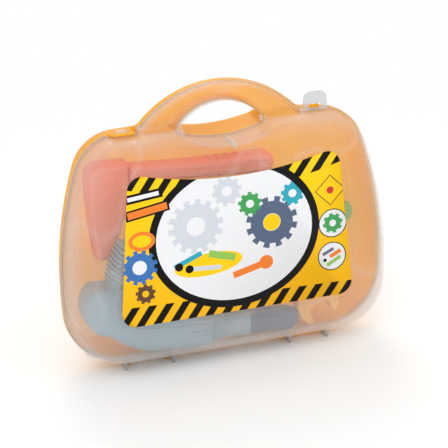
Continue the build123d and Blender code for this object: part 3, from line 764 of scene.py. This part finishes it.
def cog(centre, radius, teeth, turn=0.0):
    """A mask that is 1 inside a toothed wheel with a round hole."""
    side, height = local(centre, turn)
    reach = reckon(ink, "SQRT", sum_of_squares(side, height))
    round_it = reckon(ink, "MULTIPLY", reckon(ink, "ARCTAN2", height, side), teeth)
    tooth = reckon(ink, "GREATER_THAN", reckon(ink, "SINE", round_it), 0.0)
    tooth = reckon(ink, "MULTIPLY", tooth, tooth_share * radius)
    outline = reckon(ink, "ADD", tooth, (1 - tooth_share) * radius)
    inside = reckon(ink, "LESS_THAN", reach, outline)
    return reckon(ink, "MULTIPLY", inside, reckon(ink, "GREATER_THAN", reach, hole_share * radius))


def over(under, mask, colour):
    """Prints a colour over another where the mask is 1."""
    mix = add_node(ink, "Mix", {"Factor": mask, "A": under, "B": colour}, data_type="RGBA")
    return mix.outputs["Result"]


shade = reckon(ink, "SUBTRACT", ink_axes["Z"], ground_foot)
shade = reckon(ink, "DIVIDE", shade, ground_rise, clamp=True)
printed = over(amber_ink, shade, yellow_ink)
leaning = reckon(ink, "MULTIPLY", ink_axes["Z"], stripe_lean)
leaning = reckon(ink, "SUBTRACT", ink_axes["X"], leaning)
stripe = reckon(ink, "FRACT", reckon(ink, "DIVIDE", leaning, stripe_pitch))
stripe = reckon(ink, "GREATER_THAN", stripe, 0.5)
foot_line = reckon(ink, "ADD", ink_axes["Z"], reckon(ink, "MULTIPLY", ink_axes["X"], foot_slope))
bow = reckon(ink, "MULTIPLY", reckon(ink, "MULTIPLY", ink_axes["X"], ink_axes["X"]), head_curve)
head_line = reckon(ink, "SUBTRACT", ink_axes["Z"], bow)
bands = reckon(
    ink, "MAXIMUM",
    reckon(ink, "LESS_THAN", foot_line, foot_band),
    reckon(ink, "GREATER_THAN", head_line, head_band),
)
printed = over(printed, reckon(ink, "MULTIPLY", bands, stripe), black_ink)
printed = over(printed, oval(oval_centre, *ring_half), black_ink)
field = oval(oval_centre, *oval_half)
printed = over(printed, field, white_ink)
in_field = [
    (cog((-0.036, 0.133), 0.024, 14), pale_ink),
    (cog((-0.008, 0.160), 0.013, 10), pale_ink),
    (cog((0.031, 0.127), 0.023, 12, 8), slate_ink),
    (cog((0.012, 0.146), 0.0105, 9), green_ink),
    (cog((0.050, 0.150), 0.0105, 9), sky_ink),
    (oval((0.031, 0.127), 0.0075, 0.0075), yellow_ink),
    (oval((-0.026, 0.098), 0.030, 0.010, 4), yellow_ink),
    (block((-0.044, 0.104), 0.013, 0.0022, 22), sky_ink),
    (block((-0.014, 0.104), 0.012, 0.0032, -16), lime_ink),
    (block((-0.030, 0.095), 0.015, 0.0020, -4), pale_ink),
    (oval((-0.052, 0.099), 0.0036, 0.0036), black_ink),
    (oval((-0.043, 0.096), 0.0036, 0.0036), black_ink),
    (block((0.010, 0.088), 0.015, 0.0030, 14), orange_ink),
    (oval((0.025, 0.092), 0.0062, 0.0062), orange_ink),
]
for mask, colour in in_field:
    printed = over(printed, reckon(ink, "MULTIPLY", mask, field), colour)
beside = [
    (cog((-0.086, 0.104), 0.0155, 12, 5), blue_ink),
    (oval((-0.086, 0.104), 0.0062, 0.0062), white_ink),
    (cog((-0.082, 0.080), 0.0088, 9), brown_ink),
    (oval((-0.083, 0.127), 0.0115, 0.0085), orange_ink),
    (oval((-0.083, 0.127), 0.0080, 0.0052), yellow_ink),
    (block((-0.080, 0.1655), 0.0165, 0.0040, 6), black_ink),
    (block((-0.080, 0.1655), 0.0135, 0.0018, 6), white_ink),
    (block((-0.077, 0.1525), 0.0190, 0.0046, 9), black_ink),
    (block((-0.077, 0.1525), 0.0172, 0.0030, 9), orange_ink),
    (block((0.084, 0.1480), 0.0098, 0.0098, 45), brown_ink),
    (block((0.084, 0.1480), 0.0090, 0.0090, 45), yellow_ink),
    (oval((0.084, 0.1480), 0.0032, 0.0032), red_ink),
    (oval((0.0860, 0.1180), 0.0130, 0.0130), black_ink),
    (oval((0.0860, 0.1180), 0.0121, 0.0121), white_ink),
    (cog((0.0860, 0.1180), 0.0090, 8), green_ink),
    (oval((0.0850, 0.0880), 0.0130, 0.0130), black_ink),
    (oval((0.0850, 0.0880), 0.0121, 0.0121), white_ink),
    (block((0.0815, 0.0925), 0.0055, 0.0014, 25), slate_ink),
    (block((0.0880, 0.0900), 0.0055, 0.0018, 25), orange_ink),
    (block((0.0865, 0.0835), 0.0070, 0.0016, 28), lime_ink),
    (oval((0.0785, 0.0850), 0.0016, 0.0016), black_ink),
]
for mask, colour in beside:
    printed = over(printed, mask, colour)
mottle = add_node(ink, "TexNoise", {"Vector": ink_place["Object"], "Scale": 60.0}).outputs
worn = add_node(ink, "MixRGB", {
    "Fac": 0.05, "Color1": printed, "Color2": mottle["Color"],
}, blend_type="MULTIPLY")
ink_facing = add_node(ink, "SeparateXYZ", {"Vector": ink_place["Normal"]}).outputs
on_back = reckon(ink, "GREATER_THAN", ink_facing["Y"], 0.5)
ink_gloss = add_node(ink, "MapRange", {"Value": mottle["Fac"], "To Min": 0.32, "To Max": 0.46})
paper_bump = add_node(ink, "Bump", {
    "Height": mottle["Fac"], "Strength": 0.05, "Distance": 0.0002,
})
feed(ink, ink.nodes["Principled BSDF"], {
    "Base Color": over(worn.outputs["Color"], on_back, backing_white),
    "Roughness": ink_gloss.outputs["Result"],
    "Normal": paper_bump.outputs["Normal"],
    "Specular IOR Level": 0.12,
    "Coat Weight": 0.02,
    "Coat Roughness": 0.25,
})

label_film = bmesh.new()
label_film.from_mesh(nodes["label"].data)
bmesh.ops.remove_doubles(label_film, verts=label_film.verts, dist=1e-6)
film_back = max(v.co.y for v in label_film.verts)
back_verts = [v for v in label_film.verts if v.co.y > film_back - glue_gap]
bmesh.ops.translate(label_film, vec=(0, -glue_gap, 0), verts=back_verts)
label_piece = finish_piece("label_film", label_film, label_paint, "case_front")
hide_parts("label")
